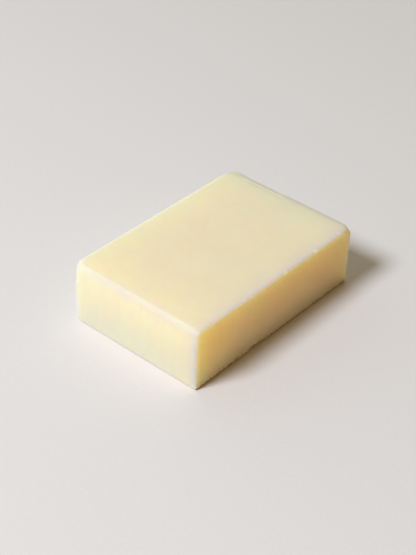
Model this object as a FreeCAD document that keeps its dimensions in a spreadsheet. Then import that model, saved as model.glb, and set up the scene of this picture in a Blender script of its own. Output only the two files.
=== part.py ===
import FreeCAD, Part

import os

import Sketcher

# A hand-cut bar of soap, cast as a slab in a mould and cut along one long side.
# X runs along the bar's length, Y across its width and Z up. The bar lies on its largest face, and the
# origin is in the middle of that face. The long side towards -Y is the knife cut: flat, with crisp edges.
# The near end (-X) and the back (+Y) were cast against the mould: they bulge a little, and their edges are
# softly rounded. The far end (+X) is flat, and its top edge was trimmed to a low slope.

# Driving dimensions, in millimetres and degrees
DIMENSIONS = [
    ("bar_length", 85.0, "length along X, at the widest"),
    ("bar_width", 57.6, "width along Y, at the widest"),
    ("bar_height", 24.6, "thickness along Z"),
    ("side_bulge", 0.7, "how far the middle of the near end and of the back stands out from their edges"),
    ("near_corner", 4.2, "radius of the upright corner between the near end and the back"),
    ("far_corner", 5.6, "radius of the upright corner between the back and the far end"),
    ("soft_edge", 1.7, "radius of the cast top edges"),
    ("base_edge", 0.8, "radius of the cast bottom edges"),
    ("cut_edge", 0.45, "radius of the worn edges round the cut face"),
    ("trim_run", 2.3, "how far the trimmed far edge reaches in from the end, halfway along it"),
    ("trim_drop", 0.7, "how far the trimmed far edge drops by the time it meets the end"),
    ("trim_skew", 1.0, "degrees that the trim runs off the far edge, wider towards the back"),
    ("facet_size", 1.5, "how far the knocked-off top corner reaches along its edges"),
    ("nick_place", -11.0, "where along the bar the nick in the bottom edge is"),
    ("nick_length", 2.6, "length of that nick along the edge"),
    ("nick_depth", 0.9, "how far that nick reaches up and in"),
    ("dent_height", 14.5, "height of the dent in the far upright edge of the cut face"),
    ("dent_length", 2.4, "length of that dent, along the edge"),
    ("dent_depth", 0.7, "how far that dent reaches into the bar"),
    ("chip_size", 0.9, "how far the chipped bottom corner at the near end reaches along its edges"),
]

# How close two places are when they count as one, in millimetres
SAME_PLACE = 1e-4

# The names that sketch constraints give to a line's two ends, and to the sketch's own origin
START, END, ORIGIN = 1, 2, -1


def make_sheet(doc):
    sheet = doc.addObject("Spreadsheet::Sheet", "Dimensions")
    for row, (alias, value, meaning) in enumerate(DIMENSIONS, start=1):
        sheet.set(f"A{row}", alias)
        sheet.set(f"B{row}", str(value))
        sheet.set(f"C{row}", meaning)
        sheet.setAlias(f"B{row}", alias)
    doc.recompute()
    return sheet


def origin_plane(body, role):
    return next(f for f in body.Origin.OriginFeatures if f.Role == role)


def new_sketch(body, name, role):
    sketch = body.newObject("Sketcher::SketchObject", name)
    sketch.AttachmentSupport = (origin_plane(body, role), [""])
    sketch.MapMode = "FlatFace"
    return sketch


def add_line(sketch, start, end):
    ends = [FreeCAD.Vector(*point, 0) for point in (start, end)]
    return sketch.addGeometry(Part.LineSegment(*ends), False)


def add_arc(sketch, start, middle, end):
    points = [FreeCAD.Vector(*point, 0) for point in (start, middle, end)]
    return sketch.addGeometry(Part.Arc(*points), False)


def close_loop(sketch, edges):
    """Joins the end of each edge of an outline to the start of the next."""
    for first, second in zip(edges, edges[1:] + edges[:1]):
        sketch.addConstraint(Sketcher.Constraint("Coincident", first, END, second, START))


def keep_square(sketch, level_edges, upright_edges):
    for edge in level_edges:
        sketch.addConstraint(Sketcher.Constraint("Horizontal", edge))
    for edge in upright_edges:
        sketch.addConstraint(Sketcher.Constraint("Vertical", edge))


def drive(sketch, name, constraint, formula):
    """Adds a named dimension to the sketch and ties it to the sheet."""
    index = sketch.addConstraint(constraint)
    sketch.renameConstraint(index, name)
    sketch.setExpression(f"Constraints.{name}", formula)


def distance_x(start, end, value):
    return Sketcher.Constraint("DistanceX", *start, *end, value)


def distance_y(start, end, value):
    return Sketcher.Constraint("DistanceY", *start, *end, value)


def set_bulge(sketch, arc, size):
    """Gives a bulging side its curve: its two ends are level with each other, and its middle stands out."""
    bulge, half_height = size.side_bulge, size.bar_height / 2
    radius = (bulge**2 + half_height**2) / (2 * bulge)
    formula = "(Dimensions.side_bulge ^ 2 + (Dimensions.bar_height / 2) ^ 2) / (2 * Dimensions.side_bulge)"
    sketch.addConstraint(Sketcher.Constraint("Vertical", arc, START, arc, END))
    drive(sketch, "bulge_radius", Sketcher.Constraint("Radius", arc, radius), formula)


def cast_slab(body, size):
    """The bar's long section, with its bulging near end, stretched past the back to be cut down there."""
    right, height = size.bar_length / 2, size.bar_height
    near_x = -right + size.side_bulge
    section = new_sketch(body, "LongSection", "XZ_Plane")
    base = add_line(section, (near_x, 0), (right, 0))
    far_end = add_line(section, (right, 0), (right, height))
    top = add_line(section, (right, height), (near_x, height))
    near_end = add_arc(section, (near_x, height), (-right, height / 2), (near_x, 0))
    close_loop(section, [base, far_end, top, near_end])
    keep_square(section, [base, top], [far_end])
    set_bulge(section, near_end, size)
    origin = (ORIGIN, START)
    near_edge = "Dimensions.bar_length / 2 - Dimensions.side_bulge"
    drive(section, "near_x", distance_x((near_end, START), origin, -near_x), near_edge)
    drive(section, "far_x", distance_x(origin, (far_end, START), right), "Dimensions.bar_length / 2")
    drive(section, "top_z", distance_y((far_end, START), (far_end, END), height), "Dimensions.bar_height")
    section.addConstraint(Sketcher.Constraint("PointOnObject", base, END, ORIGIN))
    slab = body.newObject("PartDesign::Pad", "Slab")
    slab.Profile = section
    slab.SideType = "Two sides"
    slab.setExpression("Length", "Dimensions.bar_width / 2")
    slab.setExpression("Length2", "Dimensions.bar_width / 2 + Dimensions.side_bulge")
    body.Document.recompute()
    return slab


def bulge_back(body, size):
    """Cuts the back down to the same gentle bulge as the near end."""
    back, height, bulge = size.bar_width / 2, size.bar_height, size.side_bulge
    edge_y, outside = back - bulge, back + 2 * bulge
    section = new_sketch(body, "CrossSection", "YZ_Plane")
    bulged = add_arc(section, (edge_y, 0), (back, height / 2), (edge_y, height))
    above = add_line(section, (edge_y, height), (outside, height))
    beyond = add_line(section, (outside, height), (outside, 0))
    below = add_line(section, (outside, 0), (edge_y, 0))
    close_loop(section, [bulged, above, beyond, below])
    keep_square(section, [above, below], [beyond])
    set_bulge(section, bulged, size)
    origin = (ORIGIN, START)
    back_edge = "Dimensions.bar_width / 2 - Dimensions.side_bulge"
    drive(section, "edge_y", distance_x(origin, (bulged, START), edge_y), back_edge)
    drive(section, "top_z", distance_y((bulged, START), (bulged, END), height), "Dimensions.bar_height")
    section.addConstraint(Sketcher.Constraint("PointOnObject", bulged, START, ORIGIN))
    drive(section, "reach", distance_x((above, START), (above, END), 3 * bulge), "Dimensions.side_bulge * 3")
    return cut_through(body, section, "BulgedBack", "Dimensions.bar_length * 2")


def cut_through(body, section, name, length):
    """Cuts the section's outline out of the bar, to both sides of the section."""
    pocket = body.newObject("PartDesign::Pocket", name)
    pocket.Profile = section
    pocket.Midplane = True
    pocket.setExpression("Length", length)
    body.Document.recompute()
    return pocket


def edges_where(shape, wanted):
    """Names of the edges that pass the test, which is given each edge's middle and its two ends."""
    found = []
    for number, edge in enumerate(shape.Edges, start=1):
        middle = edge.valueAt((edge.FirstParameter + edge.LastParameter) / 2)
        if wanted(middle, [corner.Point for corner in edge.Vertexes]):
            found.append(f"Edge{number}")
    return found


def upright_back_edge(shape, size, end):
    """The upright edge at the back, at the end that the sign names."""

    def wanted(middle, ends):
        full_height = len(ends) == 2 and abs(abs(ends[0].z - ends[1].z) - size.bar_height) < SAME_PLACE
        return full_height and middle.y > 0 and middle.x * end > 0

    return edges_where(shape, wanted)


def cast_edges(shape, size, height):
    """The edges at this height that lay against the mould: all but the one along the cut face."""

    def wanted(middle, ends):
        on_cut_face = abs(middle.y + size.bar_width / 2) < SAME_PLACE
        level = all(abs(point.z - height) < SAME_PLACE for point in [middle, *ends])
        return level and not on_cut_face

    return edges_where(shape, wanted)


def cut_outline(shape, size):
    """Every edge of the cut face."""

    def wanted(middle, ends):
        return all(abs(point.y + size.bar_width / 2) < SAME_PLACE for point in [middle, *ends])

    return edges_where(shape, wanted)


def round_edges(body, name, base, edges, radius):
    rounding = body.newObject("PartDesign::Fillet", name)
    rounding.Base = (base, edges)
    rounding.setExpression("Radius", f"Dimensions.{radius}")
    body.Document.recompute()
    return rounding


def trim_far_edge(body, size):
    """The top edge of the far end, shaved to a low slope that leaves a fine ridge on the top face."""
    top, run, drop = size.bar_height, size.trim_run, size.trim_drop
    section = new_sketch(body, "FarTrimSection", "XZ_Plane")
    turned = FreeCAD.Rotation(FreeCAD.Vector(0, 1, 0), -size.trim_skew)
    section.AttachmentOffset = FreeCAD.Placement(FreeCAD.Vector(size.bar_length / 2, 0, 0), turned)
    section.setExpression("AttachmentOffset.Base.x", "Dimensions.bar_length / 2")
    section.setExpression("AttachmentOffset.Rotation.Angle", "-Dimensions.trim_skew * 1 deg")
    shave = add_line(section, (-run, top), (run, top - 2 * drop))
    upright = add_line(section, (run, top - 2 * drop), (run, top))
    level = add_line(section, (run, top), (-run, top))
    close_loop(section, [shave, upright, level])
    keep_square(section, [level], [upright])
    origin = (ORIGIN, START)
    drive(section, "inside", distance_x((shave, START), origin, run), "Dimensions.trim_run")
    drive(section, "outside", distance_x(origin, (shave, END), run), "Dimensions.trim_run")
    drive(section, "top_z", distance_y(origin, (level, START), top), "Dimensions.bar_height")
    drive(section, "fall", distance_y((shave, END), (shave, START), 2 * drop), "Dimensions.trim_drop * 2")
    return cut_through(body, section, "FarTrim", "Dimensions.bar_width * 2")


def scoop(body, name, centre, half_sizes):
    """Takes a small rounded chip out of the bar. Centre and half sizes are formulas for X, Y and Z."""
    chip = body.newObject("PartDesign::SubtractiveEllipsoid", name)
    chip.AttachmentSupport = (origin_plane(body, "XY_Plane"), [""])
    chip.MapMode = "FlatFace"
    chip.Angle1, chip.Angle2, chip.Angle3 = -90, 90, 360
    for axis, formula in zip("xyz", centre):
        chip.setExpression(f"AttachmentOffset.Base.{axis}", formula)
    for radius, formula in zip(("Radius2", "Radius3", "Radius1"), half_sizes):
        chip.setExpression(radius, formula)
    body.Document.recompute()
    return chip


def take_chips(body):
    """The small damage round the cut face. Each chip is centred on the edge or corner that it spoils."""
    near, far = "-Dimensions.bar_length / 2", "Dimensions.bar_length / 2"
    cut, top, bottom = "-Dimensions.bar_width / 2", "Dimensions.bar_height", "0"
    nick_place, dent_height = "Dimensions.nick_place", "Dimensions.dent_height"
    nick, half_nick = "Dimensions.nick_depth", "Dimensions.nick_length / 2"
    dent, half_dent = "Dimensions.dent_depth", "Dimensions.dent_length / 2"
    facet, chip = "Dimensions.facet_size", "Dimensions.chip_size"
    scoop(body, "BottomNick", (nick_place, cut, bottom), (half_nick, nick, nick))
    scoop(body, "UprightDent", (far, cut, dent_height), (dent, dent, half_dent))
    scoop(body, "TopFacet", (far, cut, top), (facet, facet, facet))
    return scoop(body, "BottomChip", (near, cut, bottom), (chip, chip, chip))


def check(doc, nodes):
    for thing in doc.Objects:
        if "Invalid" in thing.State or "Error" in thing.State:
            raise RuntimeError(f"{thing.Name} is {thing.State}")
    for node in nodes:
        if node.Shape.isNull() or not node.Shape.isValid():
            raise RuntimeError(f"{node.Label} has no valid shape")


def main():
    doc = FreeCAD.newDocument("SoapBar")
    size = make_sheet(doc)
    body = doc.addObject("PartDesign::Body", "SoapBody")
    body.Label = "soap_bar"
    cast_slab(body, size)
    block = bulge_back(body, size)
    near_edge = upright_back_edge(block.Shape, size, -1)
    near = round_edges(body, "NearCorner", block, near_edge, "near_corner")
    far_edge = upright_back_edge(near.Shape, size, 1)
    far = round_edges(body, "FarCorner", near, far_edge, "far_corner")
    top_edges = cast_edges(far.Shape, size, size.bar_height)
    soft_top = round_edges(body, "SoftTopEdges", far, top_edges, "soft_edge")
    bottom_edges = cast_edges(soft_top.Shape, size, 0)
    soft_bottom = round_edges(body, "SoftBottomEdges", soft_top, bottom_edges, "base_edge")
    cut_edges = cut_outline(soft_bottom.Shape, size)
    round_edges(body, "CutEdges", soft_bottom, cut_edges, "cut_edge")
    trim_far_edge(body, size)
    body.Tip = take_chips(body)
    doc.recompute()

    nodes = [body]
    check(doc, nodes)
    os.makedirs("parts", exist_ok=True)
    for node in nodes:
        node.Shape.exportStep(f"parts/{node.Label}.step")
        box = node.Shape.optimalBoundingBox()
        print(
            f"{node.Label}: {box.XLength:.2f} x {box.YLength:.2f} x {box.ZLength:.2f} mm,",
            f"{node.Shape.Volume / 1000:.2f} cm3, {len(node.Shape.Faces)} faces",
        )
        for feature in node.Group:
            if hasattr(feature, "BaseFeature"):
                print(f"  {feature.Name}: {feature.Shape.Volume:.1f} mm3, valid {feature.Shape.isValid()}")


main()
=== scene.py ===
import itertools
import math

import bpy
import numpy as np
from mathutils import Matrix, Vector


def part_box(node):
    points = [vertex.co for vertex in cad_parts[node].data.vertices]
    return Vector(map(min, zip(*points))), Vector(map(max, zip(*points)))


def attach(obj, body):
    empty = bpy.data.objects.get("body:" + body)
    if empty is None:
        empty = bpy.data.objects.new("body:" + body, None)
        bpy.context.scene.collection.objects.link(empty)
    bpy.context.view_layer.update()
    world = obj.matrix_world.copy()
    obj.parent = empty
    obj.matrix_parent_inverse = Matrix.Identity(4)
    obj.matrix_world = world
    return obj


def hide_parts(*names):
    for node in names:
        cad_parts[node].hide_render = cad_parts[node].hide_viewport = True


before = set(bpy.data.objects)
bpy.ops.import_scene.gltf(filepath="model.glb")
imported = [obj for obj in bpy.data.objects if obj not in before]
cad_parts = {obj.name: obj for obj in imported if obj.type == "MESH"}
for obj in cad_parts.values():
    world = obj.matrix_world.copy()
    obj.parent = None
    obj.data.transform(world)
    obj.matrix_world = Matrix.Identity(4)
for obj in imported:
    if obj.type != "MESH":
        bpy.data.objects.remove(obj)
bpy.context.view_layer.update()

# Shapes are worked out in millimetres, in the frame's axes: +X along the bar, -Y the cut face, +Z up
MM = 0.001
LOW, HIGH = (np.array(corner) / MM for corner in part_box("soap_bar"))
HALF_LENGTH = (HIGH[0] - LOW[0]) / 2
HALF_WIDTH = (HIGH[1] - LOW[1]) / 2
HEIGHT = HIGH[2] - LOW[2]

# The cast outline: rounded towards +Y, square where the cut went through at -Y
NEAR_CORNER = 4.2
FAR_CORNER = 5.6
SIDE_BULGE = 0.7
NEAR_TOP_EDGE = 1.64
BACK_TOP_EDGE = 1.87
FAR_TOP_EDGE = 0.6
LEAST_TOP_EDGE = 0.3
CORNER_EXTRA = 0.75
BASE_EDGE = 0.45
CUT_EDGE = 0.45

# The cut face bows in by up to this much, in two waves along it: the length of each, and where it starts
CUT_BOW = 0.28
CUT_BOW_WAVES = ((6.1, 0.8), (17.0, 2.0))

# The worn strip along the far end of the top: a bead that fades at its ends, and a slope beyond it
BEAD_PLACE = 40.2
BEAD_REACH = 1.1
BEAD_HEIGHT = 0.22
BEAD_FROM, BEAD_TO = -1.0, 20.0
BEAD_FADE = 3.0
SLOPE_START = 40.6
SLOPE_FALL = 0.22
SLOPE_SHARE_PAST_BEAD = 0.35

# The corner knocked off at the far end of the cut face's top edge: where its facet meets three edges
FACET_ALONG_CUT = 5.0
FACET_DOWN = 2.5
FACET_ALONG_END = 3.3
FACET_SOFTNESS = 0.5

# Losses along the edges: centre, and reach along each axis
SCOOPS = {
    "base_notch": ((-12.3, -HALF_WIDTH - 0.1, -0.2), (1.9, 2.3, 1.8)),
    "base_notch_tail": ((-9.4, -HALF_WIDTH - 0.1, -0.1), (4.2, 1.8, 1.3)),
    "front_foot_chip": ((-HALF_LENGTH - 0.2, -HALF_WIDTH - 0.2, -0.1), (1.2, 1.2, 1.3)),
    "upright_dent": ((HALF_LENGTH + 0.3, -HALF_WIDTH - 0.2, 13.4), (0.9, 0.9, 1.5)),
    "top_edge_nick": ((4.3, -HALF_WIDTH - 0.1, HEIGHT + 0.1), (0.9, 0.5, 0.4)),
}
SCOOP_SOFTNESS = 0.15

# Crumbs dragged out of the foot of the cut face: thickest along one stretch, and thinner past its ends
CRUMB_HEIGHT = 3.0
CRUMB_DEPTH = 0.16
CRUMB_SIZE = 0.7
CRUMB_COVER = 0.3
CRUMB_THICK_FROM, CRUMB_THICK_TO = -36.0, -8.0
CRUMB_LEAST = 0.45

# The ragged edge below them, and broad waves over the whole bar, apart from the face that it lies on
RAGGED_DEPTH = 0.3
RAGGED_SIZE = 1.3
RAGGED_HEIGHT = 0.9
WAVE_DEPTH = 0.05
WAVE_SIZE = 14.0
WAVE_START = 0.5

# Light bruises where the surface was knocked, and a painted highlight on the lip over the notch: centre,
# reach and strength
BRUISES_AND_LIP_HIGHLIGHT = {
    "top_edge_nick": ((4.3, -HALF_WIDTH + 0.3, HEIGHT), 1.5, 0.9),
    "top_edge_scuff": ((21.5, -HALF_WIDTH + 0.4, HEIGHT), 1.6, 0.8),
    "top_edge_speck": ((-18.0, -HALF_WIDTH + 0.5, HEIGHT), 1.2, 0.4),
    "far_edge_speck": ((35.7, -HALF_WIDTH + 1.2, HEIGHT), 1.0, 0.7),
    "near_corner_spot": ((-HALF_LENGTH, 25.5, 18.3), 0.9, 0.8),
    "front_foot": ((-HALF_LENGTH, -HALF_WIDTH, 1.0), 1.5, 0.7),
    # Painted highlight on the lip over the notch
    "notch_lip_highlight": ((-11.0, -HALF_WIDTH, 2.1), 1.4, 0.9),
    "top_middle": ((-0.3, 1.4, HEIGHT), 0.9, 0.35),
    "top_left": ((-24.1, 15.7, HEIGHT), 0.9, 0.35),
    "top_front": ((-6.3, -15.4, HEIGHT), 0.7, 0.25),
    "top_near": ((-35.8, -15.0, HEIGHT), 0.8, 0.25),
    "top_back": ((-1.3, 17.5, HEIGHT), 0.7, 0.25),
    "base_fleck": ((3.0, -HALF_WIDTH, 1.1), 0.8, 0.6),
    "base_fleck_middle": ((6.2, -HALF_WIDTH, 1.9), 0.6, 0.4),
    "base_fleck_right": ((9.6, -HALF_WIDTH, 1.6), 0.6, 0.5),
}
BRUISE_AND_HIGHLIGHT_LIFT = 0.35

# Painted sheen on the edges, by the two faces that meet there: how strongly each is painted lighter and
# greyer, and how far that reaches. It stands in for the whitish light on the lit edges, and dims the near
# top edge where the lamp lights it most
SHEEN_PAINTED_EDGES = {
    ("near", "top"): (0.8, 3.0),
    ("near", "cut"): (0.9, 1.9),
    ("near", "back"): (0.6, 2.5),
    ("cut", "top"): (0.7, 1.8),
    ("back", "top"): (0.6, 2.2),
    ("far", "cut"): (0.5, 0.7),
}
SHEEN_EDGE_SOFT = 0.45
SHEEN_PATCH_SIZE = 2.5
SHEEN_PATCH_MEAN, SHEEN_PATCH_SWING = 0.85, 0.25

# Painted shade at the foot: a thin dark line along the contact, the shadow in and under the notch, and
# shade in the pits among the crumbs, with a painted highlight on the crumbs between the pits
FOOT_LINE_HEIGHT = 1.0
FOOT_PAINTED_SHADE = 0.95
NEAR_END_FOOT_SHADE = 0.18
PIT_PAINTED_SHADE = 1.0
CRUMB_PAINTED_HIGHLIGHT = 0.3
PAINTED_SHADOWS = {
    # Painted shadow in and under the notch
    "base_notch": ((-11.6, -HALF_WIDTH, 0.9), 1.5, 0.8),
    "base_notch_tail": ((-8.6, -HALF_WIDTH, 0.3), 2.0, 0.5),
}

# How far a mark on a face still reaches under it, and over how much of that it fades
CUT_SKIN = (0.6, 0.4)
NEAR_SKIN = (1.2, 0.4)
CRUMB_SKIN = (1.0, 1.0)
NEAR_FOOT_SKIN = (2.0, 1.0)
SCATTER_SKIN = (1.2, 0.8)
TOP_SKIN = 1.0

# How far the painted amber glow reaches along the cut face from its near end, and how far the painted warm
# light rises up the near end
PAINTED_GLOW_REACH = 26.0
PAINTED_FOOT_LIGHT_RISE = 15.0

# Painted highlight and shade in strips: a lighter line along the bead, and painted shade in a groove beside
# it, at the far rim and along the near top edge; by how much, how wide, and how far in from the bead or the
# end
BEAD_PAINTED_HIGHLIGHT = 0.28
BEAD_HIGHLIGHT_WIDTH = 0.6
BEAD_BREAK_SIZE = 1.4
BEAD_BREAK_MEAN, BEAD_BREAK_SWING = 0.75, 0.5
GROOVE_PAINTED_SHADE = 0.08
GROOVE_INSET = 1.2
GROOVE_WIDTH = 0.8
FAR_RIM_PAINTED_SHADE = 0.03
FAR_RIM_INSET = 0.4
FAR_RIM_WIDTH = 1.2
FAR_RIM_DEPTH = 1.5
NEAR_TOP_PAINTED_SHADE = 0.2
NEAR_TOP_REACH = 1.5

# Upright streaks from the mould and the cut: noise drawn out along Z
STREAK_LIFT = 0.012
STREAK_SIZE = 0.9
STREAK_STRETCH = 0.12

# Noise: the size of its table, the primes that pick an entry, and a seed for each use
NOISE_TABLE = 4096
NOISE_PRIMES = (73856093, 19349663, 83492791)
WAVE_SEED, CRUMB_SEED, RAGGED_SEED, SHEEN_SEED, BEAD_SEED, STREAK_SEED = range(1, 7)
TINY = 1e-9

# The grid: lines crowd together near the edges
EDGE_RUN = 5.0
EDGE_LINES = 16
EDGE_CROWDING = 1.9
LENGTH_STEP = 0.36
CROSS_STEP = 0.85
CORE_DEPTH = 7.0
BISECTIONS = 20

# The soap: its own colour, a painted amber glow for the cut face, painted warm light for the near end's
# foot, the colour of its bruises and of the painted sheen on its edges, the colour of the painted shade at
# its foot, and how far red, green and blue light spread inside it, less near the base
SOAP_COLOUR = (0.885, 0.765, 0.520)
# Painted amber glow for the cut face near its near end, standing in for light through the corner
PAINTED_GLOW_COLOUR = (0.970, 0.765, 0.460)
# Painted warm light for the near end, strongest at its foot
PAINTED_FOOT_LIGHT_COLOUR = (0.990, 0.785, 0.565)
# Colour of the bruises, and of the painted sheen along the edges
BRUISE_AND_SHEEN_COLOUR = (0.71, 0.67, 0.62)
# Colour of the painted shade at the foot, in the notch and in the crumbs' pits
PAINTED_SHADE_COLOUR = (0.40, 0.24, 0.10)
CLOUD_STRENGTHS = (0.975, 1.01)
SCATTER = (34.0, 20.0, 5.5)
SCATTER_AT_BASE = 0.12
SCATTER_RISE = 10.0
SCATTER_RISE_CUT = 6.0
SOAP_ROUGHNESS = (0.5, 0.65)
SOAP_IOR = 1.45

# Noise in the materials: how fine it is, per metre, and how strongly it shows as relief
CLOUD_SCALE = 60.0
GRAIN_SCALE = 1400.0
STREAK_SCALE = 700.0
FIBRE_SCALE = 900.0
GRAIN_STRENGTH = 0.25
FIBRE_STRENGTH = 0.15
RELIEF = 0.0001
NOISE_STOPS = (0.3, 0.7)

# The floor: its own colour, and the colours of the light that it sends back to the bar, which change
# along Y from in front of the cut face to behind it, and in front along X from the near corner on
FLOOR_COLOUR = (0.735, 0.725, 0.700)
FIBRE_STRENGTHS = (0.985, 1.015)
FLOOR_ROUGHNESS = 0.9
FLOOR_HALF = 3000.0
FLOOR_DROP = 0.05
BOUNCE_BACK = (0.67, 0.66, 0.67)
BOUNCE_FRONT = (0.80, 0.54, 0.32)
BOUNCE_CORNER = (0.98, 0.74, 0.40)
BOUNCE_EDGE = (-45.0, -15.0)
BOUNCE_TURN = (-28.0, -8.0)
BOUNCE_UNDER = (0.98, 0.98, 0.98)
UNDER_INSET = 3.0

# The camera that the bar is seen by: angles in degrees, lengths in mm, pixels of a picture 555 high
CAMERA_AZIMUTH = -51.217
CAMERA_ELEVATION = 36.740
CAMERA_ROLL = 3.047
CAMERA_DISTANCE = 493.5
CAMERA_ASIDE = (1.310, -7.669)
CAMERA_CLIP = 0.01
FOCAL_PIXELS = 1363.8
PICTURE_HEIGHT = 555
SENSOR = 36.0

# The window: where it is, in degrees and metres, and how much light it gives to level ground
WINDOW_TURN = 165.0
WINDOW_RISE = 47.5
WINDOW_DISTANCE = 1.8
WINDOW_SIZE = 0.56
WINDOW_LEVEL = 0.68
WINDOW_COLOUR = (0.97, 1.0, 1.11)

# The sky: the light from each side, and what shows behind the floor
SKY = {
    "left": ((-1, 0, 0), (0.04, 0.03, 0.03)),
    "right": ((1, 0, 0), (0.32, 0.27, 0.18)),
    "front": ((0, -1, 0), (0.15, 0.06, 0.01)),
    "back": ((0, 1, 0), (0.65, 0.67, 0.70)),
    "above": ((0, 0, 1), (0.10, 0.08, 0.02)),
}
BACKGROUND = (0.70, 0.69, 0.67)


def bump(t):
    """A smooth hump, 1 at 0 and 0 from 1 on."""
    return np.clip(1 - t * t, 0, 1) ** 2


def round_max(a, b, radius):
    """The greater of two signed distances, with the edge where they meet rounded to a radius."""
    over_a = np.maximum(a + radius, 0.0)
    over_b = np.maximum(b + radius, 0.0)
    return np.minimum(np.maximum(a, b), -radius) + np.hypot(over_a, over_b)


def noise(points, size, seed):
    """Smooth noise between -1 and 1 that changes over about the given size."""
    table = np.random.default_rng(seed).uniform(-1, 1, NOISE_TABLE)
    scaled = points / size
    cell = np.floor(scaled).astype(np.int64)
    part = scaled - cell
    part = part * part * (3 - 2 * part)
    total = np.zeros(len(points))
    for corner in itertools.product((0, 1), repeat=3):
        mixed = (cell + corner) * NOISE_PRIMES
        entry = (mixed[:, 0] ^ mixed[:, 1] ^ mixed[:, 2]) % NOISE_TABLE
        total += table[entry] * np.prod(np.where(corner, part, 1 - part), axis=1)
    return total


def outline_distance(x, y):
    """Signed distance to the cast outline in plan, and its outward direction."""
    radius = np.where(x > 0, FAR_CORNER, NEAR_CORNER)
    past_x = np.abs(x) - (HALF_LENGTH - radius)
    past_y = y - (HALF_WIDTH - radius)
    over_x, over_y = np.maximum(past_x, 0.0), np.maximum(past_y, 0.0)
    reach = np.hypot(over_x, over_y)
    away = reach + np.minimum(np.maximum(past_x, past_y), 0.0) - radius
    safe = np.maximum(reach, TINY)
    towards_x = np.where(reach > TINY, over_x / safe, past_x > past_y) * np.sign(x)
    towards_y = np.where(reach > TINY, over_y / safe, past_x <= past_y)
    return away, towards_x, towards_y


def along_bead(y):
    """1 along the bead, fading to 0 at its two ends."""
    return np.clip((y - BEAD_FROM) / BEAD_FADE, 0, 1) * np.clip((BEAD_TO - y) / BEAD_FADE, 0, 1)


def top_height(x, y):
    """Height of the top: level, with a bead near the far end and a slope beyond it."""
    along = along_bead(y)
    bead = BEAD_HEIGHT * along * bump((x - BEAD_PLACE) / BEAD_REACH)
    slope = SLOPE_FALL * (SLOPE_SHARE_PAST_BEAD + (1 - SLOPE_SHARE_PAST_BEAD) * along)
    return HEIGHT - BEAD_HEIGHT + bead - slope * np.maximum(x - SLOPE_START, 0)


def cut_bow(x, z):
    """How far the cut face bows in: in uneven waves along it, and most at the top."""
    (short, short_start), (long, long_start) = CUT_BOW_WAVES
    waves = 0.5 + 0.5 * np.sin(x / short + short_start) * np.sin(x / long + long_start)
    return CUT_BOW * waves * (z / HEIGHT) ** 2


def facet_distance(points):
    """Signed distance to the plane of the knocked-off corner."""
    on_cut = np.array((HALF_LENGTH - FACET_ALONG_CUT, -HALF_WIDTH, HEIGHT))
    on_upright = np.array((HALF_LENGTH, -HALF_WIDTH, HEIGHT - FACET_DOWN))
    on_end = np.array((HALF_LENGTH, -HALF_WIDTH + FACET_ALONG_END, HEIGHT))
    normal = np.cross(on_upright - on_cut, on_end - on_cut)
    return (points - on_cut) @ (normal / np.linalg.norm(normal))


def bar_distance(points):
    """Signed distance to the bar's surface, near enough for small steps: below 0 inside."""
    x, y, z = points.T
    side, towards_x, towards_y = outline_distance(x, y)
    near, far, back = np.maximum(-towards_x, 0) ** 2, np.maximum(towards_x, 0) ** 2, towards_y ** 2
    corner = 4 * near * back
    edge = near * NEAR_TOP_EDGE + far * FAR_TOP_EDGE + back * BACK_TOP_EDGE + corner * CORNER_EXTRA
    from_middle = 2 * z / HEIGHT - 1
    side = side + SIDE_BULGE * from_middle ** 2 * (1 - far)
    body = round_max(side, z - top_height(x, y), np.maximum(edge, LEAST_TOP_EDGE))
    body = round_max(body, -z, BASE_EDGE + corner * CORNER_EXTRA)
    body = round_max(body, cut_bow(x, z) - HALF_WIDTH - y, CUT_EDGE)
    body = round_max(body, facet_distance(points), FACET_SOFTNESS)
    for centre, reach in SCOOPS.values():
        inside = np.linalg.norm((points - centre) / reach, axis=1)
        body = round_max(body, (1 - inside) * min(reach), SCOOP_SOFTNESS)
    return body


def depths(points):
    """How deep each point lies under each face."""
    x, y, z = points.T
    return {"near": HALF_LENGTH + x, "far": HALF_LENGTH - x, "cut": HALF_WIDTH + y,
            "back": HALF_WIDTH - y, "top": HEIGHT - z, "base": z}


def on_face(depth, skin):
    """1 on a face, fading to 0 where a point lies deeper than the skin reaches."""
    reach, fade = skin
    return np.clip((reach - depth) / fade, 0, 1)


def crumb_share(points):
    """How thick the crumbs lie at the foot of the cut face: thickest at the foot, and along one stretch."""
    x, y, z = points.T
    middle = (CRUMB_THICK_FROM + CRUMB_THICK_TO) / 2
    along = CRUMB_LEAST + (1 - CRUMB_LEAST) * bump((x - middle) / (CRUMB_THICK_TO - CRUMB_THICK_FROM))
    return along * np.clip(1 - z / CRUMB_HEIGHT, 0, 1)


def wear_down(points, normals):
    """Sinks the surface a little: broad waves all over, crumbs and a ragged edge at the cut face's foot."""
    x, y, z = points.T
    waves = WAVE_DEPTH * (0.5 + 0.5 * noise(points, WAVE_SIZE, WAVE_SEED)) * (z > WAVE_START)
    crumbs = CRUMB_DEPTH * crumb_share(points)
    crumbs *= np.clip(CRUMB_COVER - noise(points, CRUMB_SIZE, CRUMB_SEED), 0, 1)
    along = np.stack([x, 0 * x, 0 * x], 1)
    ragged = RAGGED_DEPTH * bump(z / RAGGED_HEIGHT) * np.clip(noise(along, RAGGED_SIZE, RAGGED_SEED), 0, 1)
    sink = waves + (crumbs + ragged) * on_face(depths(points)["cut"], CRUMB_SKIN)
    return np.clip(points - normals * sink[:, None], LOW, HIGH)


def spots(points, places):
    """How strong the strongest of some round spots is at each point."""
    marks = [strength * bump(np.minimum(np.linalg.norm(points - centre, axis=1) / reach, 1))
             for centre, reach, strength in places.values()]
    return np.max(marks, axis=0)


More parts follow.
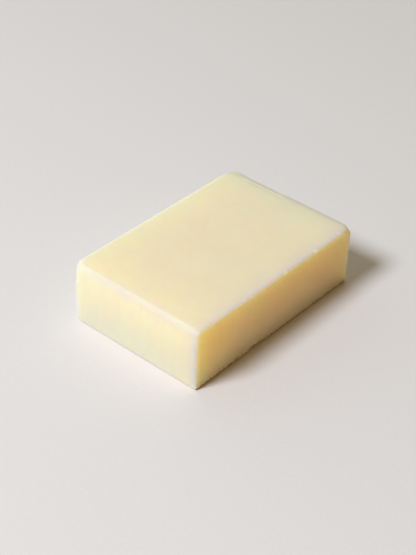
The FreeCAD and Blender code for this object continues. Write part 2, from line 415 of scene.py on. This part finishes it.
def bruises_and_painted_sheen(points):
    """How light and grey the soap is painted at each point: painted sheen along its edges, real bruises
    where it was knocked, and a painted highlight on the notch's lip.
    """
    depth = depths(points)
    patches = SHEEN_PATCH_MEAN + SHEEN_PATCH_SWING * noise(points, SHEEN_PATCH_SIZE, SHEEN_SEED)
    bruise_and_sheen = spots(points, BRUISES_AND_LIP_HIGHLIGHT)
    # Painted sheen: each edge lighter and greyer the nearer a point is to it
    for (one, other), (strength, reach) in SHEEN_PAINTED_EDGES.items():
        away = np.maximum(np.maximum(depth[one], depth[other]) - SHEEN_EDGE_SOFT, 0)
        bruise_and_sheen = np.maximum(bruise_and_sheen, strength * np.exp(-away / reach) * patches)
    return np.clip(bruise_and_sheen, 0, 1)


def painted_shade(points):
    """How much painted shade darkens the soap at each point: along its foot, in and under the notch, and in
    the pits among the crumbs.
    """
    depth = depths(points)
    on_cut = on_face(depth["cut"], CUT_SKIN)
    # Painted contact shade: a dark line along the foot
    line = bump(depth["base"] / FOOT_LINE_HEIGHT) * (1 - spots(points, BRUISES_AND_LIP_HIGHLIGHT))
    lines = line * np.maximum(FOOT_PAINTED_SHADE * on_cut, NEAR_END_FOOT_SHADE * on_face(depth["near"], NEAR_SKIN))
    # Painted shade in the pits among the crumbs
    dark = np.clip(-noise(points, CRUMB_SIZE, CRUMB_SEED), 0, 1)
    pit_shade = PIT_PAINTED_SHADE * crumb_share(points) * on_cut * dark
    return np.clip(np.maximum(lines, spots(points, PAINTED_SHADOWS)) + pit_shade, 0, 1)


def painted_glow_share(points):
    """How much painted amber glow the cut face gets, standing in for light that comes through the corner:
    most near its near end.
    """
    depth = depths(points)
    # Painted glow: more amber on the cut face the nearer it is to the near end
    return on_face(depth["cut"], CUT_SKIN) * bump(depth["near"] / PAINTED_GLOW_REACH)


def painted_foot_light(points):
    """How much painted warm light the near end gets: most at the foot."""
    depth = depths(points)
    # Painted warm light: warmest at the foot of the near end
    return on_face(depth["near"], NEAR_FOOT_SKIN) * np.clip(1 - depth["base"] / PAINTED_FOOT_LIGHT_RISE, 0, 1)


def tone_and_painted_light(points):
    """What the soap's colour is multiplied by: painted highlights on the bead and crumbs, painted shade
    beside the bead, at the far rim and along the near top edge, real streaks, and the bruises with the
    notch lip's painted highlight.
    """
    x, y, z = points.T
    depth = depths(points)
    # Brightens the bruises, and the painted highlight on the notch's lip
    total = 1 + BRUISE_AND_HIGHLIGHT_LIFT * spots(points, BRUISES_AND_LIP_HIGHLIGHT)
    broken = BEAD_BREAK_MEAN + BEAD_BREAK_SWING * noise(points, BEAD_BREAK_SIZE, BEAD_SEED)
    along = along_bead(y) * broken * (depth["top"] < TOP_SKIN)
    # Painted highlight along the bead's crest
    total += BEAD_PAINTED_HIGHLIGHT * along * bump((x - BEAD_PLACE) / BEAD_HIGHLIGHT_WIDTH)
    # Painted shade in a groove beside the bead
    total -= GROOVE_PAINTED_SHADE * along * bump((x - BEAD_PLACE + GROOVE_INSET) / GROOVE_WIDTH)
    from_rim = np.clip((depth["far"] - FAR_RIM_INSET) / FAR_RIM_WIDTH, 0, 1)
    # Painted shade along the far rim, where the top slopes away from the light
    total -= FAR_RIM_PAINTED_SHADE * bump(from_rim) * (depth["top"] < FAR_RIM_DEPTH)
    # Painted shade along the near top edge, where the lamp lights it most
    total -= NEAR_TOP_PAINTED_SHADE * np.exp(-np.maximum(depth["near"], depth["top"]) / NEAR_TOP_REACH)
    # Painted highlight on the crumbs between the pits
    light = np.clip(noise(points, CRUMB_SIZE, CRUMB_SEED), 0, 1)
    total += CRUMB_PAINTED_HIGHLIGHT * crumb_share(points) * on_face(depth["cut"], CUT_SKIN) * light
    upright = np.stack([x, y, z * STREAK_STRETCH], 1)
    total += STREAK_LIFT * noise(upright, STREAK_SIZE, STREAK_SEED) * (depth["top"] > TOP_SKIN)
    return total


def light_spread(points):
    """The scale of the scatter: less near the base, where the floor under the bar sends the light back."""
    depth = depths(points)
    height = SCATTER_RISE + (SCATTER_RISE_CUT - SCATTER_RISE) * on_face(depth["cut"], SCATTER_SKIN)
    rise = np.clip(depth["base"] / height, 0, 1)
    rise = rise * rise * (3 - 2 * rise)
    return MM * (SCATTER_AT_BASE + (1 - SCATTER_AT_BASE) * rise)


def grid_lines(half, step):
    """Places from -half to half, a step apart in the middle and crowded near both ends."""
    crowd = EDGE_RUN * (np.arange(EDGE_LINES + 1) / EDGE_LINES) ** EDGE_CROWDING
    count = round(2 * (half - EDGE_RUN) / step)
    middle = np.linspace(EDGE_RUN - half, half - EDGE_RUN, count + 1)[1:-1]
    return np.concatenate([crowd - half, middle, half - crowd[::-1]])


def box_shell(lines):
    """Corners and outward four-sided faces of a box with the given grid lines on each axis."""
    outer = np.zeros([len(places) for places in lines], bool)
    for axis in range(3):
        np.moveaxis(outer, axis, 0)[[0, -1]] = True
    number = np.full(outer.shape, -1)
    number[outer] = np.arange(outer.sum())
    corners = np.stack([places[at] for places, at in zip(lines, np.nonzero(outer))], 1)
    faces = []
    for axis, end in itertools.product(range(3), (0, -1)):
        ids = np.moveaxis(number, axis, 0)[end]
        quads = np.stack([ids[:-1, :-1], ids[1:, :-1], ids[1:, 1:], ids[:-1, 1:]], -1).reshape(-1, 4)
        outward = (end == -1) != (axis == 1)
        faces.append(quads if outward else quads[:, ::-1])
    return corners, np.concatenate(faces)


def draw_in(corners):
    """Moves each corner of the box's grid straight towards the core, onto the bar's surface."""
    core = np.array((HALF_LENGTH, HALF_WIDTH, HEIGHT / 2)) - CORE_DEPTH
    middle = np.array((0, 0, HEIGHT / 2))
    start = np.clip(corners - middle, -core, core) + middle
    way = corners - start
    inside, outside = np.zeros(len(corners)), np.ones(len(corners))
    for _ in range(BISECTIONS):
        halfway = (inside + outside) / 2
        within = bar_distance(start + way * halfway[:, None]) < 0
        inside = np.where(within, halfway, inside)
        outside = np.where(within, outside, halfway)
    return start + way * inside[:, None]


def make_mesh(name, corners, faces):
    mesh = bpy.data.meshes.new(name)
    mesh.from_pydata(corners * MM, [], faces.tolist())
    mesh.polygons.foreach_set("use_smooth", [True] * len(mesh.polygons))
    mesh.update()
    piece = bpy.data.objects.new(name, mesh)
    bpy.context.scene.collection.objects.link(piece)
    return piece


def new_material(name):
    material = bpy.data.materials.new(name)
    material.use_nodes = True
    tree = material.node_tree
    return material, tree, tree.nodes["Principled BSDF"]


def add_node(tree, kind, **values):
    """A node with its settings, and its inputs by name where a setting of that name is an input."""
    node = tree.nodes.new(kind)
    for key, value in values.items():
        if hasattr(node, key):
            setattr(node, key, value)
        else:
            node.inputs[key.replace("_", " ").title()].default_value = value
    return node


def read_mark(tree, name):
    """The value of one of the mesh's marks at each point."""
    return add_node(tree, "ShaderNodeAttribute", attribute_name=name).outputs["Fac"]


def mix_colours(tree, share, first, second):
    """The first colour where the share is 0 and the second where it is 1: each is a colour or an output."""
    mix = add_node(tree, "ShaderNodeMix", data_type="RGBA")
    tree.links.new(share, mix.inputs["Factor"])
    for socket, colour in (("A", first), ("B", second)):
        if isinstance(colour, tuple):
            mix.inputs[socket].default_value = (*colour, 1)
        else:
            tree.links.new(colour, mix.inputs[socket])
    return mix.outputs["Result"]


def vary_colour(tree, share, colour, strengths):
    """A colour whose strength follows a noise."""
    ramp = add_node(tree, "ShaderNodeValToRGB")
    for stop, at, strength in zip(ramp.color_ramp.elements, NOISE_STOPS, strengths):
        stop.position = at
        stop.color = (*(channel * strength for channel in colour), 1)
    tree.links.new(share, ramp.inputs["Fac"])
    return ramp.outputs["Color"]


def seen_plainly(tree):
    """1 for rays that show a thing, straight or in a shine, and 0 for rays that gather its light."""
    ray = add_node(tree, "ShaderNodeLightPath")
    total = ray.outputs["Is Camera Ray"]
    for kind in ("Is Glossy Ray", "Is Transmission Ray"):
        either = add_node(tree, "ShaderNodeMath", operation="MAXIMUM")
        tree.links.new(total, either.inputs[0])
        tree.links.new(ray.outputs[kind], either.inputs[1])
        total = either.outputs["Value"]
    return total


def soap_colour(tree, place):
    """Faint clouds, tinted with painted glow, painted warm light, bruises and painted sheen, and painted
    shade, and then scaled by a mark for painted highlights and shade, streaks and bruises.
    """
    cloud = add_node(tree, "ShaderNodeTexNoise", scale=CLOUD_SCALE, detail=4.0)
    tree.links.new(place, cloud.inputs["Vector"])
    colour = vary_colour(tree, cloud.outputs["Fac"], SOAP_COLOUR, CLOUD_STRENGTHS)
    tints = {"painted_glow": PAINTED_GLOW_COLOUR, "painted_foot_light": PAINTED_FOOT_LIGHT_COLOUR, "bruise_and_sheen": BRUISE_AND_SHEEN_COLOUR,
             "painted_shade": PAINTED_SHADE_COLOUR}
    for mark, tint in tints.items():
        colour = mix_colours(tree, read_mark(tree, mark), colour, tint)
    toned = add_node(tree, "ShaderNodeVectorMath", operation="SCALE")
    tree.links.new(colour, toned.inputs["Vector"])
    # Scaled by a mark that carries painted highlights and shade as well as real streaks and bruises
    tree.links.new(read_mark(tree, "tone_and_painted_light"), toned.inputs["Scale"])
    return toned.outputs["Vector"]


def soap_surface(tree, place):
    """Roughness and relief: a waxy grain, and faint upright streaks."""
    link = tree.links.new
    grain = add_node(tree, "ShaderNodeTexNoise", scale=GRAIN_SCALE, detail=4.0)
    stretch = add_node(tree, "ShaderNodeMapping")
    stretch.inputs["Scale"].default_value = (1.0, 1.0, STREAK_STRETCH)
    streaks = add_node(tree, "ShaderNodeTexNoise", scale=STREAK_SCALE, detail=3.0)
    height = add_node(tree, "ShaderNodeMath", operation="ADD")
    relief = add_node(tree, "ShaderNodeBump", strength=GRAIN_STRENGTH, distance=RELIEF)
    rough = add_node(tree, "ShaderNodeMapRange", to_min=SOAP_ROUGHNESS[0], to_max=SOAP_ROUGHNESS[1])
    link(place, grain.inputs["Vector"])
    link(place, stretch.inputs["Vector"])
    link(stretch.outputs["Vector"], streaks.inputs["Vector"])
    link(grain.outputs["Fac"], height.inputs[0])
    link(streaks.outputs["Fac"], height.inputs[1])
    link(height.outputs["Value"], relief.inputs["Height"])
    link(grain.outputs["Fac"], rough.inputs["Value"])
    return rough.outputs["Result"], relief.outputs["Normal"]


def soap_material():
    material, tree, shader = new_material("waxy_soap")
    link = tree.links.new
    place = add_node(tree, "ShaderNodeTexCoord").outputs["Object"]
    shader.inputs["IOR"].default_value = SOAP_IOR
    shader.inputs["Subsurface Weight"].default_value = 1.0
    shader.inputs["Subsurface Radius"].default_value = SCATTER
    link(read_mark(tree, "spread"), shader.inputs["Subsurface Scale"])
    link(soap_colour(tree, place), shader.inputs["Base Color"])
    roughness, normal = soap_surface(tree, place)
    link(roughness, shader.inputs["Roughness"])
    link(normal, shader.inputs["Normal"])
    return material


def add_bar():
    lines = (
        grid_lines(HALF_LENGTH, LENGTH_STEP),
        grid_lines(HALF_WIDTH, CROSS_STEP),
        grid_lines(HEIGHT / 2, CROSS_STEP) + HEIGHT / 2,
    )
    corners, faces = box_shell(lines)
    surface = draw_in(corners)
    piece = make_mesh("soap_body", surface, faces)
    normals = np.zeros(surface.size)
    piece.data.vertices.foreach_get("normal", normals)
    worn = wear_down(surface, normals.reshape(-1, 3))
    piece.data.vertices.foreach_set("co", (worn * MM).ravel())
    # Marks: painted glow, painted warm light, bruises with painted sheen, painted shade, and a multiplier
    # with painted highlights and shade
    marks = {"painted_glow": painted_glow_share, "painted_foot_light": painted_foot_light, "bruise_and_sheen": bruises_and_painted_sheen, "painted_shade": painted_shade, "tone_and_painted_light": tone_and_painted_light,
             "spread": light_spread}
    for name, measure in marks.items():
        piece.data.attributes.new(name, "FLOAT", "POINT").data.foreach_set("value", measure(worn))
    piece.data.update()
    piece.data.materials.append(soap_material())
    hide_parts("soap_bar")
    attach(piece, "root")


def bounce_colour(tree, place):
    """The floor's colour for the light that it sends back to the bar."""
    across = add_node(tree, "ShaderNodeSeparateXYZ")
    tree.links.new(place, across.inputs["Vector"])
    shares = []
    for axis, (start, end) in (("X", BOUNCE_TURN), ("Y", BOUNCE_EDGE)):
        share = add_node(tree, "ShaderNodeMapRange", from_min=start * MM, from_max=end * MM)
        tree.links.new(across.outputs[axis], share.inputs["Value"])
        shares.append(share.outputs["Result"])
    from_corner, from_front = shares
    front = mix_colours(tree, from_corner, BOUNCE_CORNER, BOUNCE_FRONT)
    return mix_colours(tree, from_front, front, BOUNCE_BACK)


def floor_material():
    material, tree, shader = new_material("paper_floor")
    link = tree.links.new
    shader.inputs["Roughness"].default_value = FLOOR_ROUGHNESS
    place = add_node(tree, "ShaderNodeTexCoord").outputs["Object"]
    fibres = add_node(tree, "ShaderNodeTexNoise", scale=FIBRE_SCALE, detail=3.0)
    relief = add_node(tree, "ShaderNodeBump", strength=FIBRE_STRENGTH, distance=RELIEF)
    link(place, fibres.inputs["Vector"])
    link(fibres.outputs["Fac"], relief.inputs["Height"])
    link(relief.outputs["Normal"], shader.inputs["Normal"])
    shown = vary_colour(tree, fibres.outputs["Fac"], FLOOR_COLOUR, FIBRE_STRENGTHS)
    colour = mix_colours(tree, seen_plainly(tree), bounce_colour(tree, place), shown)
    link(colour, shader.inputs["Base Color"])
    return material


def under_material():
    material, _, shader = new_material("paper_under_bar")
    shader.inputs["Base Color"].default_value = (*BOUNCE_UNDER, 1)
    shader.inputs["Roughness"].default_value = FLOOR_ROUGHNESS
    return material


def add_level(name, half_x, half_y, z, material):
    """A level rectangle about the origin, which isn't part of the object."""
    signs = np.array([(-1, -1, 1), (1, -1, 1), (1, 1, 1), (-1, 1, 1)])
    level = make_mesh(name, signs * (half_x, half_y, z), np.array([[0, 1, 2, 3]]))
    level.data.materials.append(material)


def add_floor():
    add_level("floor", FLOOR_HALF, FLOOR_HALF, -FLOOR_DROP, floor_material())
    half_x, half_y = HALF_LENGTH - UNDER_INSET, HALF_WIDTH - UNDER_INSET
    add_level("floor_under_bar", half_x, half_y, -FLOOR_DROP / 2, under_material())


def add_window():
    turn, rise = math.radians(WINDOW_TURN), math.radians(WINDOW_RISE)
    towards = Vector((math.cos(turn) * math.cos(rise), math.sin(turn) * math.cos(rise), math.sin(rise)))
    lamp = bpy.data.lights.new("window", "AREA")
    lamp.shape = "DISK"
    lamp.size = WINDOW_SIZE
    lamp.color = WINDOW_COLOUR
    lamp.energy = WINDOW_LEVEL * math.pi ** 2 * WINDOW_DISTANCE ** 2 / math.sin(rise)
    facing = towards.to_track_quat("Z", "Y").to_matrix().to_4x4()
    window = bpy.data.objects.new("window", lamp)
    window.matrix_world = Matrix.Translation(towards * WINDOW_DISTANCE) @ facing
    bpy.context.scene.collection.objects.link(window)


def sky_light(tree):
    """The light of the sky by direction: each side's colour, by how far a direction faces that side."""
    link = tree.links.new
    direction = add_node(tree, "ShaderNodeTexCoord").outputs["Generated"]
    total = None
    for side, colour in SKY.values():
        facing = add_node(tree, "ShaderNodeVectorMath", operation="DOT_PRODUCT")
        facing.inputs[1].default_value = side
        share = add_node(tree, "ShaderNodeClamp")
        lobe = add_node(tree, "ShaderNodeVectorMath", operation="MULTIPLY_ADD")
        lobe.inputs[1].default_value = colour
        lobe.inputs[2].default_value = (0, 0, 0)
        link(direction, facing.inputs[0])
        link(facing.outputs["Value"], share.inputs["Value"])
        link(share.outputs["Result"], lobe.inputs[0])
        if total is not None:
            link(total, lobe.inputs[2])
        total = lobe.outputs["Vector"]
    return total


def add_sky():
    world = bpy.data.worlds.new("sky")
    world.use_nodes = True
    tree = world.node_tree
    colour = mix_colours(tree, seen_plainly(tree), sky_light(tree), BACKGROUND)
    tree.links.new(colour, tree.nodes["Background"].inputs["Color"])
    bpy.context.scene.world = world


def add_camera():
    azimuth, elevation = math.radians(CAMERA_AZIMUTH), math.radians(CAMERA_ELEVATION)
    back = Vector((math.sin(azimuth) * math.cos(elevation), -math.cos(azimuth) * math.cos(elevation),
                   math.sin(elevation)))
    right = Vector((0, 0, 1)).cross(back).normalized()
    turn = Matrix((right, back.cross(right), back)).transposed()
    turn = turn @ Matrix.Rotation(math.radians(CAMERA_ROLL), 3, "Z")
    camera = bpy.data.objects.new("camera", bpy.data.cameras.new("camera"))
    camera.data.sensor_width = SENSOR
    camera.data.lens = FOCAL_PIXELS / PICTURE_HEIGHT * SENSOR
    camera.data.clip_start = CAMERA_CLIP
    place = turn @ Vector((-CAMERA_ASIDE[0], -CAMERA_ASIDE[1], CAMERA_DISTANCE)) * MM
    camera.matrix_world = Matrix.Translation(place) @ turn.to_4x4()
    bpy.context.scene.collection.objects.link(camera)
    bpy.context.scene.camera = camera


bpy.context.scene.view_settings.view_transform = "Standard"
add_bar()
add_floor()
add_window()
add_sky()
add_camera()
